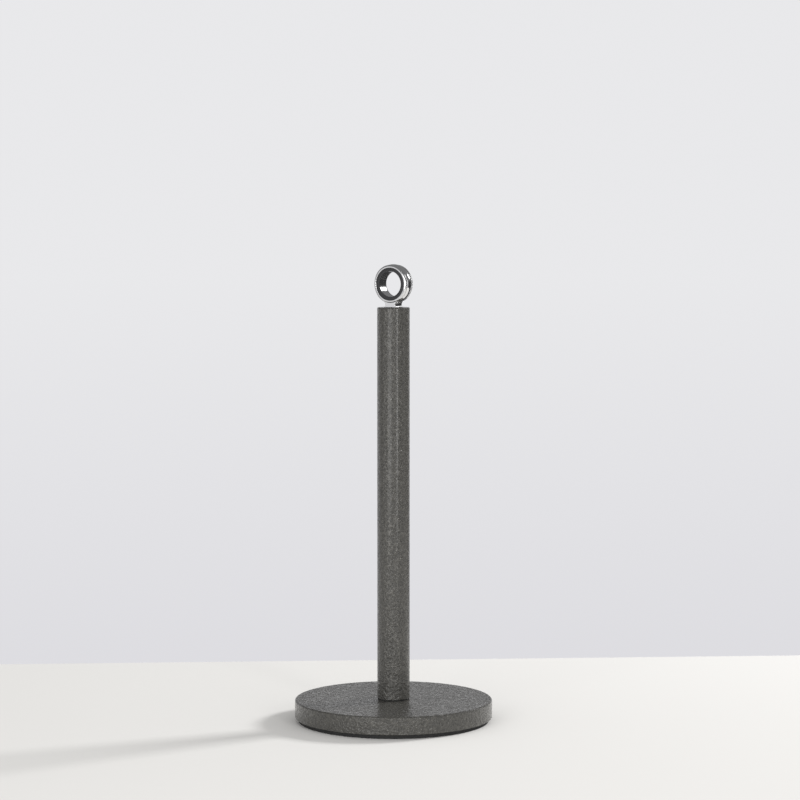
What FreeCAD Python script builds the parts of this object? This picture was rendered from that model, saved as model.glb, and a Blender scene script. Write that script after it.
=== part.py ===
import FreeCAD, Part
import math
import os

import Sketcher

# Weighted stand for one upright roll of paper towels: a round plinth, a plain column and a ring finial
# that unscrews from the column's top.
# Frame: millimetres, +Z up, origin at the centre of the plinth's resting face, ring axis along Y.

os.makedirs("parts", exist_ok=True)
doc = FreeCAD.newDocument("paper_towel_holder")

# ---------------------------------------------------------------- driving dimensions

DRIVING_SIZES = [
    # alias, value in millimetres, meaning
    ("pad_inset", 2.5, "anti-slip pad, set in from the shell's outside"),
    ("pad_thickness", 3.1, "anti-slip pad, stands below the shell"),
    ("pad_hole_margin", 3.0, "anti-slip pad, opening past the counterbore's edge"),
    ("base_diameter", 152.0, "plinth shell, outside"),
    ("rim_height", 13.7, "plinth shell, height of its side"),
    ("shell_wall", 1.2, "plinth shell, sheet thickness"),
    ("rim_edge_radius", 1.2, "plinth shell, rounding of the top edge"),
    ("rim_foot_radius", 0.5, "plinth shell, rounding of the bottom edge"),
    ("weight_gap", 0.3, "ballast, radial gap to the shell"),
    ("weight_chamfer", 0.8, "ballast, chamfer of its outer edges"),
    ("bolt_gap", 0.4, "radial gap round the bolt in shell, ballast and seat washer"),
    ("counterbore_margin", 2.0, "ballast, recess past the flat washer's edge"),
    ("head_recess", 0.2, "how far the bolt head lies inside the ballast"),
    ("seat_washer_inset", 0.5, "soft washer under the column, set in from the column's outside"),
    ("seat_washer_thickness", 0.8, "soft washer under the column"),
    ("column_diameter", 25.0, "column tube, outside"),
    ("column_wall", 1.2, "column tube, wall"),
    ("column_length", 301.0, "column tube, length"),
    ("column_edge_radius", 0.8, "column tube, rounding of the top edge"),
    ("insert_gap", 0.05, "radial gap between the tube and its inserts"),
    ("top_insert_length", 18.0, "threaded insert at the column's top"),
    ("bottom_insert_length", 20.0, "threaded insert at the column's foot"),
    ("thread_gap", 0.05, "radial running clearance of plain-modelled threads"),
    ("bolt_diameter", 8.0, "base bolt, thread"),
    ("bolt_length", 25.0, "base bolt, shank below the head"),
    ("bolt_head_diameter", 14.0, "base bolt, button head"),
    ("bolt_head_height", 4.4, "base bolt, button head"),
    ("bolt_head_radius", 2.6, "base bolt, rounding of the head"),
    ("bolt_key_width", 5.0, "base bolt, hexagon across flats"),
    ("bolt_key_depth", 2.6, "base bolt, hexagon depth"),
    ("thread_chamfer", 0.8, "chamfer on the ends of bolt and stud"),
    ("flat_washer_diameter", 16.0, "flat washer, outside"),
    ("flat_washer_thickness", 1.6, "flat washer"),
    ("spring_washer_diameter", 12.8, "spring washer, outside"),
    ("spring_washer_thickness", 2.0, "spring washer, wound section"),
    ("spring_washer_slit", 0.8, "spring washer, width of its slanting slit"),
    ("washer_gap", 0.2, "radial gap between bolt and washers"),
    ("stud_diameter", 6.0, "finial stud, thread"),
    ("stud_in_column", 14.0, "finial stud, length screwed into the column"),
    ("stud_cover", 1.75, "finial, metal left between the stud's hole and the ring's bore"),
    ("stud_hole_spare", 0.3, "finial, hole depth past the stud's end"),
    ("finial_seat_gap", 0.05, "gap between the finial's foot and the column's top"),
    ("neck_height", 2.9, "finial neck, from the column's top to the ring's crown"),
    ("ring_depth", 10.6, "finial ring, size along its axis"),
    ("ring_diameter", 30.0, "finial ring, crown of the barrel band"),
    ("barrel_rise", 0.5, "finial ring, crown of the barrel band above its edges"),
    ("bezel_set_in", 0.4, "finial ring, bezels below the barrel's crown"),
    ("bezel_thickness", 1.6, "finial ring, bezels along the axis"),
    ("bezel_width", 2.1, "finial ring, bright rim between inlay and outside"),
    ("bezel_edge_radius", 1.35, "finial ring, rounding of the bezels' outer edges"),
    ("groove_depth", 0.5, "finial ring, grooves behind the bezels"),
    ("groove_width", 0.6, "finial ring, grooves along the axis"),
    ("ring_bore_diameter", 19.5, "finial ring, open hole"),
    ("inlay_thickness", 1.0, "dark inlays"),
    ("inlay_recess", 0.3, "dark inlays, set back behind the bezels"),
    ("inlay_gap", 0.05, "dark inlays, radial gap in their pockets"),
    ("neck_width", 9.1, "finial neck, across"),
    ("neck_depth", 9.6, "finial neck, size along the ring's axis"),
    ("neck_fillet", 2.6, "finial neck, rounding up to the ring"),
    ("neck_root_wall", 0.35, "metal kept between the neck's root and the inlay pockets"),
    ("foot_flare", 0.7, "finial neck, how far its foot spreads on each side"),
    ("foot_height", 0.4, "finial neck, straight edge of the foot"),
]

sheet = doc.addObject("Spreadsheet::Sheet", "Sizes")
for row, (alias, size, meaning) in enumerate(DRIVING_SIZES, start=1):
    sheet.set(f"A{row}", alias)
    sheet.set(f"B{row}", str(size))
    sheet.setAlias(f"B{row}", alias)
    sheet.set(f"C{row}", meaning)
doc.recompute()

# Heights and radii that follow from the driving dimensions. Each is an expression, so every sketch and
# placement that uses one is bound to the sheet.
SHELL_FOOT_Z = "Sizes.pad_thickness"
SHELL_TOP_Z = f"({SHELL_FOOT_Z} + Sizes.rim_height)"
COLUMN_FOOT_Z = f"({SHELL_TOP_Z} + Sizes.seat_washer_thickness)"
COLUMN_TOP_Z = f"({COLUMN_FOOT_Z} + Sizes.column_length)"
RING_CENTRE_HEIGHT = "(Sizes.neck_height + Sizes.ring_diameter / 2)"
RING_CENTRE_Z = f"({COLUMN_TOP_Z} + {RING_CENTRE_HEIGHT})"

BASE_RADIUS = "(Sizes.base_diameter / 2)"
COUNTERBORE_RADIUS = "(Sizes.flat_washer_diameter / 2 + Sizes.counterbore_margin)"
BOLT_HOLE_RADIUS = "(Sizes.bolt_diameter / 2 + Sizes.bolt_gap)"
WEIGHT_HEIGHT = "(Sizes.rim_height - Sizes.shell_wall)"
WASHER_STACK = "(Sizes.flat_washer_thickness + Sizes.spring_washer_thickness)"
HEAD_TOP_Z = f"({SHELL_FOOT_Z} + Sizes.head_recess + Sizes.bolt_head_height)"
COUNTERBORE_DEPTH = f"(Sizes.head_recess + Sizes.bolt_head_height + {WASHER_STACK})"
WASHER_BORE_RADIUS = "(Sizes.bolt_diameter / 2 + Sizes.washer_gap)"
INSERT_RADIUS = "(Sizes.column_diameter / 2 - Sizes.column_wall - Sizes.insert_gap)"

RING_HALF_DEPTH = "(Sizes.ring_depth / 2)"
RING_BORE_RADIUS = "(Sizes.ring_bore_diameter / 2)"
BEZEL_RADIUS = "(Sizes.ring_diameter / 2 - Sizes.bezel_set_in)"
POCKET_RADIUS = f"({BEZEL_RADIUS} - Sizes.bezel_width)"
INLAY_RADIUS = f"({POCKET_RADIUS} - Sizes.inlay_gap)"
INLAY_FACE_Y = f"({RING_HALF_DEPTH} - Sizes.inlay_recess)"
POCKET_FLOOR_Y = f"({INLAY_FACE_Y} - Sizes.inlay_thickness)"
STUD_HOLE_TOP = f"({RING_CENTRE_HEIGHT} - {RING_BORE_RADIUS} - Sizes.stud_cover)"
STUD_LENGTH = f"(Sizes.stud_in_column + {STUD_HOLE_TOP} - Sizes.stud_hole_spare)"


# ---------------------------------------------------------------- modelling helpers

def number(expression):
    """The present value of an expression on the sheet, in millimetres."""
    return float(sheet.evalExpression(expression))


def new_body(label):
    body = doc.addObject("PartDesign::Body", label)
    body.Label = label
    return body


def new_sketch(body, name, plane_role):
    """A sketch on one of the body's own origin planes."""
    sketch = body.newObject("Sketcher::SketchObject", name)
    plane = next(item for item in body.Origin.OriginFeatures if item.Role == plane_role)
    sketch.AttachmentSupport = [(plane, "")]
    sketch.MapMode = "FlatFace"
    return sketch


def bind(sketch, kind, *arguments, expression):
    """Adds one dimension to a sketch and binds it to an expression."""
    index = sketch.addConstraint(Sketcher.Constraint(kind, *arguments, number(expression)))
    sketch.setExpression(f"Constraints[{index}]", expression)


def place_point(sketch, edge, end, across, up):
    """Fixes one end of an edge at (across, up) from the sketch's origin."""
    for kind, axis_line, expression in (("DistanceX", -2, across), ("DistanceY", -1, up)):
        if expression == "0":
            sketch.addConstraint(Sketcher.Constraint("PointOnObject", edge, end, axis_line))
        else:
            bind(sketch, kind, -1, 1, edge, end, expression=expression)


def add_outline(sketch, corners, arcs=None):
    """A closed chain of edges through corners, each an (across, up) pair of expressions.

    An edge named in arcs by the index of its first corner is an arc: (radius, turn), where turn is 1 if
    the arc bends to the left of its travel and -1 if it bends to the right.
    """
    arcs = arcs or {}
    points = [FreeCAD.Vector(number(across), number(up), 0) for across, up in corners]
    ends = []
    for index, start in enumerate(points):
        finish = points[(index + 1) % len(points)]
        if index not in arcs:
            sketch.addGeometry(Part.LineSegment(start, finish))
            ends.append((1, 2))
            continue
        radius, turn = number(arcs[index][0]), arcs[index][1]
        chord = finish - start
        rise = math.sqrt(radius ** 2 - (chord.Length / 2) ** 2)
        left = FreeCAD.Vector(-chord.y, chord.x, 0).normalize()
        centre = (start + finish) / 2 + left * rise * turn
        from_centre = [point - centre for point in ((start, finish) if turn > 0 else (finish, start))]
        angles = [math.atan2(arm.y, arm.x) for arm in from_centre]
        circle = Part.Circle(centre, FreeCAD.Vector(0, 0, 1), radius)
        sketch.addGeometry(Part.ArcOfCircle(circle, *angles))
        ends.append((1, 2) if turn > 0 else (2, 1))
    for index, (across, up) in enumerate(corners):
        previous = index - 1 if index else len(corners) - 1
        joint = Sketcher.Constraint("Coincident", previous, ends[previous][1], index, ends[index][0])
        sketch.addConstraint(joint)
        place_point(sketch, index, ends[index][0], across, up)
    for index, (radius, _turn) in arcs.items():
        bind(sketch, "Radius", index, expression=radius)


def add_circle(sketch, radius):
    """A circle round the sketch's origin."""
    circle = Part.Circle(FreeCAD.Vector(0, 0, 0), FreeCAD.Vector(0, 0, 1), number(radius))
    edge = sketch.addGeometry(circle)
    place_point(sketch, edge, 3, "0", "0")
    bind(sketch, "Radius", edge, expression=radius)


def revolve(body, sketch, name, axis):
    """A full turn of a sketch about its own H_Axis or V_Axis."""
    feature = body.newObject("PartDesign::Revolution", name)
    feature.Profile = sketch
    feature.ReferenceAxis = (sketch, [axis])
    feature.Angle = 360


def pad(body, sketch, name, length, midplane=False):
    feature = body.newObject("PartDesign::Pad", name)
    feature.Profile = sketch
    feature.Midplane = midplane
    feature.setExpression("Length", length)


def pocket(body, sketch, name, depth, reverse=False):
    """A pocket that must take material away; reverse turns it to the other side of its sketch."""
    doc.recompute()
    volume_before = body.Shape.Volume
    feature = body.newObject("PartDesign::Pocket", name)
    feature.Profile = sketch
    feature.Reversed = reverse
    feature.setExpression("Length", depth)
    doc.recompute()
    if body.Shape.Volume >= volume_before:
        raise RuntimeError(f"{name} cuts nothing from {body.Label}")


def circles_at(shape, radius, axis, height):
    """Names of the circular edges of a radius, centred on a main axis at a height along it."""
    names = []
    for index, edge in enumerate(shape.Edges, start=1):
        if not isinstance(edge.Curve, Part.Circle):
            continue
        centre = edge.Curve.Center
        along = centre.z if axis == "Z" else centre.y
        if abs(edge.Curve.Radius - number(radius)) < 1e-4 and abs(along - number(height)) < 1e-4:
            names.append(f"Edge{index}")
    if not names:
        raise RuntimeError(f"no edge of radius {radius} at {height}")
    return names


def dress_edges(body, kind, name, size, circles, axis="Z"):
    """A fillet or chamfer on the circular edges given as (radius, height) pairs of expressions."""
    doc.recompute()
    base = body.Tip
    edges = []
    for radius, height in circles:
        edges += circles_at(base.Shape, radius, axis, height)
    feature = body.newObject(f"PartDesign::{kind}", name)
    feature.Base = (base, edges)
    feature.setExpression("Radius" if kind == "Fillet" else "Size", size)


def lift(item, height):
    item.setExpression("Placement.Base.z", height)


def ring_body(label, outer_radius, inner_radius, thickness, height):
    """A flat ring round the main axis, such as a washer or a pad, with its lower face at a height."""
    body = new_body(label)
    sketch = new_sketch(body, f"{label}_outline", "XY_Plane")
    add_circle(sketch, outer_radius)
    add_circle(sketch, inner_radius)
    pad(body, sketch, f"{label}_blank", thickness)
    lift(body, height)
    return body


# ---------------------------------------------------------------- plinth

def make_base_shell():
    """Drawn steel cover with its open side down; the ballast fills it."""
    body = new_body("base_shell")
    outer = BASE_RADIUS
    inner = f"({outer} - Sizes.shell_wall)"
    sketch = new_sketch(body, "base_shell_section", "XZ_Plane")
    add_outline(sketch, [
        (BOLT_HOLE_RADIUS, WEIGHT_HEIGHT),
        (inner, WEIGHT_HEIGHT),
        (inner, "0"),
        (outer, "0"),
        (outer, "Sizes.rim_height"),
        (BOLT_HOLE_RADIUS, "Sizes.rim_height"),
    ])
    revolve(body, sketch, "base_shell_drawn", "V_Axis")
    top_edge = [(outer, "Sizes.rim_height")]
    foot_edge = [(outer, "0")]
    dress_edges(body, "Fillet", "base_shell_top_edge", "Sizes.rim_edge_radius", top_edge)
    dress_edges(body, "Fillet", "base_shell_foot_edge", "Sizes.rim_foot_radius", foot_edge)
    lift(body, SHELL_FOOT_Z)


def make_base_weight():
    """Cast ballast disc, bored for the bolt and counterbored for its head and washers."""
    body = new_body("base_weight")
    outer = f"({BASE_RADIUS} - Sizes.shell_wall - Sizes.weight_gap)"
    sketch = new_sketch(body, "base_weight_section", "XZ_Plane")
    add_outline(sketch, [
        (BOLT_HOLE_RADIUS, COUNTERBORE_DEPTH),
        (COUNTERBORE_RADIUS, COUNTERBORE_DEPTH),
        (COUNTERBORE_RADIUS, "0"),
        (outer, "0"),
        (outer, WEIGHT_HEIGHT),
        (BOLT_HOLE_RADIUS, WEIGHT_HEIGHT),
    ])
    revolve(body, sketch, "base_weight_cast", "V_Axis")
    rims = [(outer, WEIGHT_HEIGHT), (outer, "0")]
    dress_edges(body, "Chamfer", "base_weight_edges", "Sizes.weight_chamfer", rims)
    lift(body, SHELL_FOOT_Z)


def make_base_pad():
    outer = f"{BASE_RADIUS} - Sizes.pad_inset"
    opening = f"{COUNTERBORE_RADIUS} + Sizes.pad_hole_margin"
    ring_body("base_pad", outer, opening, "Sizes.pad_thickness", "0")


# ---------------------------------------------------------------- bolt and washers

def make_base_bolt():
    """Button-head bolt, driven from below; it pulls the column down on the plinth."""
    body = new_body("base_bolt")
    shank = "(Sizes.bolt_diameter / 2)"
    head = "(Sizes.bolt_head_diameter / 2)"
    sketch = new_sketch(body, "base_bolt_section", "XZ_Plane")
    add_outline(sketch, [
        ("0", "-Sizes.bolt_head_height"),
        (head, "-Sizes.bolt_head_height"),
        (head, "0"),
        (shank, "0"),
        (shank, "Sizes.bolt_length"),
        ("0", "Sizes.bolt_length"),
    ])
    revolve(body, sketch, "base_bolt_turned", "V_Axis")
    dome_edge = [(head, "-Sizes.bolt_head_height")]
    tip_edge = [(shank, "Sizes.bolt_length")]
    dress_edges(body, "Fillet", "base_bolt_dome", "Sizes.bolt_head_radius", dome_edge)
    dress_edges(body, "Chamfer", "base_bolt_tip", "Sizes.thread_chamfer", tip_edge)
    key = new_sketch(body, "base_bolt_key", "XY_Plane")
    key.setExpression("AttachmentOffset.Base.z", "-Sizes.bolt_head_height")
    key_corner = "Sizes.bolt_key_width / sqrt(3)"
    add_outline(key, [(f"({key_corner} * {across})", f"(Sizes.bolt_key_width / 2 * {up})" if up else "0")
                      for across, up in ((1, 0), (0.5, 1), (-0.5, 1), (-1, 0), (-0.5, -1), (0.5, -1))])
    pocket(body, key, "base_bolt_socket", "Sizes.bolt_key_depth", reverse=True)
    lift(body, HEAD_TOP_Z)


def make_base_washers():
    """Spring washer on the bolt head and flat washer above it, against the ballast."""
    outer = "(Sizes.spring_washer_diameter / 2)"
    thickness = "Sizes.spring_washer_thickness"
    spring = ring_body("base_spring_washer", outer, WASHER_BORE_RADIUS, thickness, HEAD_TOP_Z)
    slit = new_sketch(spring, "base_spring_washer_slit", "YZ_Plane")
    half_slit = "(Sizes.spring_washer_slit / 2)"
    add_outline(slit, [
        (f"(-{thickness} / 2 - {half_slit})", "0"),
        (f"(-{thickness} / 2 + {half_slit})", "0"),
        (f"({thickness} / 2 + {half_slit})", thickness),
        (f"({thickness} / 2 - {half_slit})", thickness),
    ])
    pocket(spring, slit, "base_spring_washer_cut", outer, reverse=True)
    ring_body("base_flat_washer", "Sizes.flat_washer_diameter / 2", WASHER_BORE_RADIUS,
              "Sizes.flat_washer_thickness", f"{HEAD_TOP_Z} + {thickness}")


# ---------------------------------------------------------------- column

def make_column_seat_washer():
    outer = "Sizes.column_diameter / 2 - Sizes.seat_washer_inset"
    ring_body("column_seat_washer", outer, BOLT_HOLE_RADIUS, "Sizes.seat_washer_thickness", SHELL_TOP_Z)


def make_column_tube():
    outer = "(Sizes.column_diameter / 2)"
    inner = f"({outer} - Sizes.column_wall)"
    body = ring_body("column_tube", outer, inner, "Sizes.column_length", COLUMN_FOOT_Z)
    top_edge = [(outer, "Sizes.column_length")]
    dress_edges(body, "Fillet", "column_tube_edge", "Sizes.column_edge_radius", top_edge)


def make_column_inserts():
    """Tapped plugs welded into the two ends of the tube, flush with it."""
    ring_body("column_bottom_insert", INSERT_RADIUS, "Sizes.bolt_diameter / 2 + Sizes.thread_gap",
              "Sizes.bottom_insert_length", COLUMN_FOOT_Z)
    ring_body("column_top_insert", INSERT_RADIUS, "Sizes.stud_diameter / 2 + Sizes.thread_gap",
              "Sizes.top_insert_length", f"{COLUMN_TOP_Z} - Sizes.top_insert_length")


# ---------------------------------------------------------------- finial

def make_finial_stud():
    """Threaded stud: one end in the finial's neck, the other in the column's top insert."""
    body = new_body("finial_stud")
    radius = "Sizes.stud_diameter / 2"
    sketch = new_sketch(body, "finial_stud_outline", "XY_Plane")
    add_circle(sketch, radius)
    pad(body, sketch, "finial_stud_rod", STUD_LENGTH)
    ends = [(radius, "0"), (radius, STUD_LENGTH)]
    dress_edges(body, "Chamfer", "finial_stud_ends", "Sizes.thread_chamfer", ends)
    lift(body, f"{COLUMN_TOP_Z} - Sizes.stud_in_column")


def make_finial_ring():
    """Cast ring on a short neck: barrel band, a bezel and a groove at each face, pockets for the inlays."""
    body = new_body("finial_ring")
    half, floor = RING_HALF_DEPTH, POCKET_FLOOR_Y
    bezel_back = f"({half} - Sizes.bezel_thickness)"
    barrel_edge = f"({bezel_back} - Sizes.groove_width)"
    barrel_edge_radius = "(Sizes.ring_diameter / 2 - Sizes.barrel_rise)"
    groove_radius = f"({BEZEL_RADIUS} - Sizes.groove_depth)"
    front_side = [
        (floor, RING_BORE_RADIUS),
        (floor, POCKET_RADIUS),
        (half, POCKET_RADIUS),
        (half, BEZEL_RADIUS),
        (bezel_back, BEZEL_RADIUS),
        (bezel_back, groove_radius),
        (barrel_edge, groove_radius),
        (barrel_edge, barrel_edge_radius),
    ]
    back_side = [(f"(-{along})", radius) for along, radius in reversed(front_side)]
    barrel_radius = f"(({barrel_edge} ^ 2 + Sizes.barrel_rise ^ 2) / (2 * Sizes.barrel_rise))"
    section = new_sketch(body, "finial_ring_section", "YZ_Plane")
    add_outline(section, front_side + back_side, arcs={len(front_side) - 1: (barrel_radius, 1)})
    revolve(body, section, "finial_ring_turned", "H_Axis")
    bezel_edges = [(BEZEL_RADIUS, half), (BEZEL_RADIUS, f"(-{half})")]
    dress_edges(body, "Fillet", "finial_ring_bezels", "Sizes.bezel_edge_radius", bezel_edges, axis="Y")
    add_neck(body)
    lift(body, RING_CENTRE_Z)


def add_neck(body):
    """The neck, drawn as seen along the ring's axis, a little shallower than the ring it blends into."""
    half_width = "(Sizes.neck_width / 2)"
    foot_half_width = f"({half_width} + Sizes.foot_flare)"
    foot_z = f"(Sizes.finial_seat_gap - {RING_CENTRE_HEIGHT})"
    foot_edge_z = f"({foot_z} + Sizes.foot_height)"
    flare_top_z = f"({foot_edge_z} + Sizes.foot_flare)"
    fillet_reach = f"({BEZEL_RADIUS} + Sizes.neck_fillet)"
    fillet_x = f"({half_width} + Sizes.neck_fillet)"
    fillet_z = f"(-sqrt({fillet_reach} ^ 2 - {fillet_x} ^ 2))"
    blend_x = f"({fillet_x} * {BEZEL_RADIUS} / {fillet_reach})"
    blend_z = f"({fillet_z} * {BEZEL_RADIUS} / {fillet_reach})"
    root_radius = f"({POCKET_RADIUS} + Sizes.neck_root_wall)"
    root_x = f"({fillet_x} * {root_radius} / {fillet_reach})"
    root_z = f"({fillet_z} * {root_radius} / {fillet_reach})"
    right_side = [
        (foot_half_width, foot_z),
        (foot_half_width, foot_edge_z),
        (half_width, flare_top_z),
        (half_width, fillet_z),
        (blend_x, blend_z),
        (root_x, root_z),
    ]
    left_side = [(f"(-{across})", up) for across, up in reversed(right_side)]
    outline = new_sketch(body, "finial_neck_outline", "XZ_Plane")
    add_outline(outline, right_side + left_side, arcs={
        1: ("Sizes.foot_flare", -1),
        3: ("Sizes.neck_fillet", -1),
        5: (root_radius, -1),
        7: ("Sizes.neck_fillet", -1),
        9: ("Sizes.foot_flare", -1),
    })
    pad(body, outline, "finial_neck", "Sizes.neck_depth", midplane=True)
    hole = new_sketch(body, "finial_stud_hole_outline", "XY_Plane")
    hole.setExpression("AttachmentOffset.Base.z", foot_z)
    add_circle(hole, "Sizes.stud_diameter / 2 + Sizes.thread_gap")
    pocket(body, hole, "finial_stud_hole", f"{STUD_HOLE_TOP} - Sizes.finial_seat_gap", reverse=True)


def make_finial_inlays():
    """Dark rings that lie in the pockets of the ring's two faces."""
    for label, side in (("finial_front_inlay", -1), ("finial_rear_inlay", 1)):
        body = new_body(label)
        sketch = new_sketch(body, f"{label}_outline", "XZ_Plane")
        add_circle(sketch, INLAY_RADIUS)
        add_circle(sketch, RING_BORE_RADIUS)
        pad(body, sketch, f"{label}_disc", "Sizes.inlay_thickness", midplane=True)
        middle_y = f"({INLAY_FACE_Y} - Sizes.inlay_thickness / 2)"
        body.setExpression("Placement.Base.y", f"{side} * {middle_y}")
        lift(body, RING_CENTRE_Z)


# ---------------------------------------------------------------- build, check and export

make_base_pad()
make_base_shell()
make_base_weight()
make_base_bolt()
make_base_washers()
make_column_seat_washer()
make_column_tube()
make_column_inserts()
make_finial_stud()
make_finial_ring()
make_finial_inlays()
doc.recompute()

failed = [item.Name for item in doc.Objects if {"Invalid", "Error"} & set(item.State)]
if failed:
    raise RuntimeError(f"objects failed to compute: {failed}")
sketches = [item for item in doc.Objects if item.isDerivedFrom("Sketcher::SketchObject")]
loose = [item.Name for item in sketches if not item.FullyConstrained]
if loose:
    raise RuntimeError(f"sketches are not fully constrained: {loose}")
bodies = [item for item in doc.Objects if item.isDerivedFrom("PartDesign::Body")]
for item in bodies:
    if item.Shape.isNull() or not item.Shape.isValid() or len(item.Shape.Solids) != 1:
        raise RuntimeError(f"{item.Label} is not one valid solid")
for item in bodies:
    item.Shape.exportStep(f"parts/{item.Label}.step")
    print(f"{item.Label}: {item.Shape.Volume / 1000:.2f} cm3")
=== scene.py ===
import math

import bmesh
import bpy
from bpy.props import FloatProperty, FloatVectorProperty, IntProperty, PointerProperty
from mathutils import Matrix, Vector


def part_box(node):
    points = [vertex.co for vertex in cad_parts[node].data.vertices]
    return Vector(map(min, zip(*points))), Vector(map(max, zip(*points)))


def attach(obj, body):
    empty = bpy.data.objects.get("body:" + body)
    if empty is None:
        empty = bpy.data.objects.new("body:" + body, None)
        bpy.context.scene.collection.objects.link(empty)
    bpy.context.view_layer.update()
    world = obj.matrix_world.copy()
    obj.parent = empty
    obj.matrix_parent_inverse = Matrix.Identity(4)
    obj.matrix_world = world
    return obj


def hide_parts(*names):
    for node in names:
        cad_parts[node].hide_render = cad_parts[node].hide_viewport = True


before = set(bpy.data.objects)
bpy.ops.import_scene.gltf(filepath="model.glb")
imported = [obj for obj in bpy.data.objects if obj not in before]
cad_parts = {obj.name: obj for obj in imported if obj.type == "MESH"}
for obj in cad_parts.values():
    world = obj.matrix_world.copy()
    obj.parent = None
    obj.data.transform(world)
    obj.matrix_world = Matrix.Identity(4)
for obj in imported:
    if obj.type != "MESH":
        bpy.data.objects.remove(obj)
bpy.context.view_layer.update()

bl_info = {
    "name": "Ring Top Paper Towel Holder",
    "version": (1, 0, 0),
    "blender": (4, 5, 0),
    "location": "3D View > Sidebar > Towel Holder",
    "description": "Builds the finished surfaces of a weighted paper towel holder round its packed frame",
    "category": "Add Mesh",
}

UP = Vector((0, 0, 1))
BACK = Vector((0, 1, 0))
MM = 0.001
TOLERANCE = 0.01 * MM


# ---------------------------------------------------------------- places taken from the frame

def half_width(node):
    """Half the size of a node along X, which is its radius on a round one."""
    low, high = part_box(node)
    return (high[0] - low[0]) / 2


def span(node, axis=2):
    """Lowest and highest coordinate of a node along one axis, upwards by default."""
    low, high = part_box(node)
    return low[axis], high[axis]


RING_RADIUS = half_width("finial_ring")
RING_FOOT, RING_CROWN = span("finial_ring")
RING_CENTRE = Vector((0, 0, RING_CROWN - RING_RADIUS))
RING_FRONT, RING_BACK = span("finial_ring", axis=1)


# ---------------------------------------------------------------- the studio's room and lights

# The walls of the room that metal mirrors: (bearing in degrees, share of the backdrop's brightness). Bearing
# 0 is straight away from the camera, and 90 is to its right.
WALL_SHADES = [
    (-180, 0.45), (-132, 0.45), (-128, 0.08), (-122, 1.0), (-107, 1.0), (-101, 0.06),
    (-82, 0.06), (-72, 1.0), (34, 1.0), (44, 0.06), (88, 0.05), (92, 0.7),
    (103, 0.7), (107, 0.06), (146, 0.06), (156, 0.40), (180, 0.45),
]
# How far floor and ceiling take over from the walls: (upward part of a direction, share).
LEVEL_SHARES = [(-0.36, 1.0), (-0.24, 0.0), (0.09, 0.0), (0.22, 1.0)]
CEILING_SHADE = 0.25
FLOOR_SHADE = 0.06
# From this upward part of a direction on, what takes over is the ceiling.
CEILING_FROM = 0.1
# The upward parts of a direction between which the backdrop turns from its foot's darker colour, painted
# shade near the table, to its own.
BACKDROP_LEVELS = (-0.17, -0.03)
# Grey of the soft light that fills in from all sides.
FILL_SHADE = 0.67

# Area lights: (name, place, width, height, power, mirrored by metal). A place is given as the camera sees it:
# to the right, away and up. The key's glow is what metal shows of the key: a broad box, far less bright.
LIGHTS = [
    ("key", (2.48, 1.42, 1.48), 0.60, 0.60, 90.0, False),
    ("key_glow", (2.42, 1.52, 1.50), 0.85, 0.80, 7.6, True),
    ("left_box", (-0.90, -1.72, 0.45), 0.95, 1.1, 12.5, True),
    ("right_strip", (0.86, -1.74, 0.45), 0.24, 1.1, 8.0, True),
]
LIGHTS_AIM = Vector((0, 0, 0.15))
SENSOR_WIDTH = 36.0
TABLE_THICKNESS = 0.03
TABLE_ROUGHNESS = 0.5


# ---------------------------------------------------------------- settings that a user may change

def length(name, description, default):
    """A setting that is a length in metres."""
    return FloatProperty(name=name, description=description, default=default, unit="LENGTH", precision=5)


def colour(name, description, default):
    """A setting that is a colour."""
    return FloatVectorProperty(
        name=name, description=description, default=default, subtype="COLOR", size=3, min=0.0, max=1.0)


def angle(name, description, degrees):
    """A setting that is an angle, with its default in degrees."""
    return FloatProperty(name=name, description=description, default=math.radians(degrees), subtype="ANGLE")


def factor(name, description, default):
    """A setting from 0 to 1."""
    return FloatProperty(
        name=name, description=description, default=default, subtype="FACTOR", min=0.0, max=1.0)


class PlinthSizes(bpy.types.PropertyGroup):
    """Sizes of the base that its frame nodes do not give."""
    wall: length("Shell wall", "Sheet thickness of the shell", 1.2 * MM)
    top_radius: length("Top edge radius", "Rounding of the shell's top edge", 1.2 * MM)
    foot_radius: length("Foot edge radius", "Rounding of the shell's bottom edge", 0.5 * MM)
    pad_radius: length("Pad edge radius", "Rounding of the pad's edges", 0.35 * MM)
    pad_opening: length("Pad opening", "Radius of the pad's middle hole", 13.0 * MM)
    bolt_radius: length("Bolt radius", "Radius of the bolt's shank", 4.0 * MM)
    hole_gap: length("Bolt gap", "Gap between the bolt and the hole it passes", 0.4 * MM)
    turn_steps: IntProperty(name="Steps", description="Steps in a full turn", default=288, min=48)


class ColumnSizes(bpy.types.PropertyGroup):
    """Sizes of the column that its frame nodes do not give."""
    wall: length("Tube wall", "Wall of the tube", 1.2 * MM)
    top_radius: length("Top edge radius", "Rounding of the tube's top edge", 0.8 * MM)
    foot_radius: length("Foot edge radius", "Rounding of the tube's lower edge", 0.25 * MM)
    seam_radius: length("Seam radius", "Rounding of the edges that meet at the plug's seam", 0.12 * MM)
    countersink: length("Countersink", "Chamfer at the mouth of the tapped hole", 0.5 * MM)
    thread_gap: length("Thread gap", "Tapped hole beyond the stud's radius", 0.05 * MM)
    washer_hole: length("Washer hole", "Radius of the soft washer's hole", 4.4 * MM)
    washer_radius: length("Washer edge radius", "Rounding of the soft washer", 0.2 * MM)
    turn_steps: IntProperty(name="Steps", description="Steps in a full turn", default=144, min=48)


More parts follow.
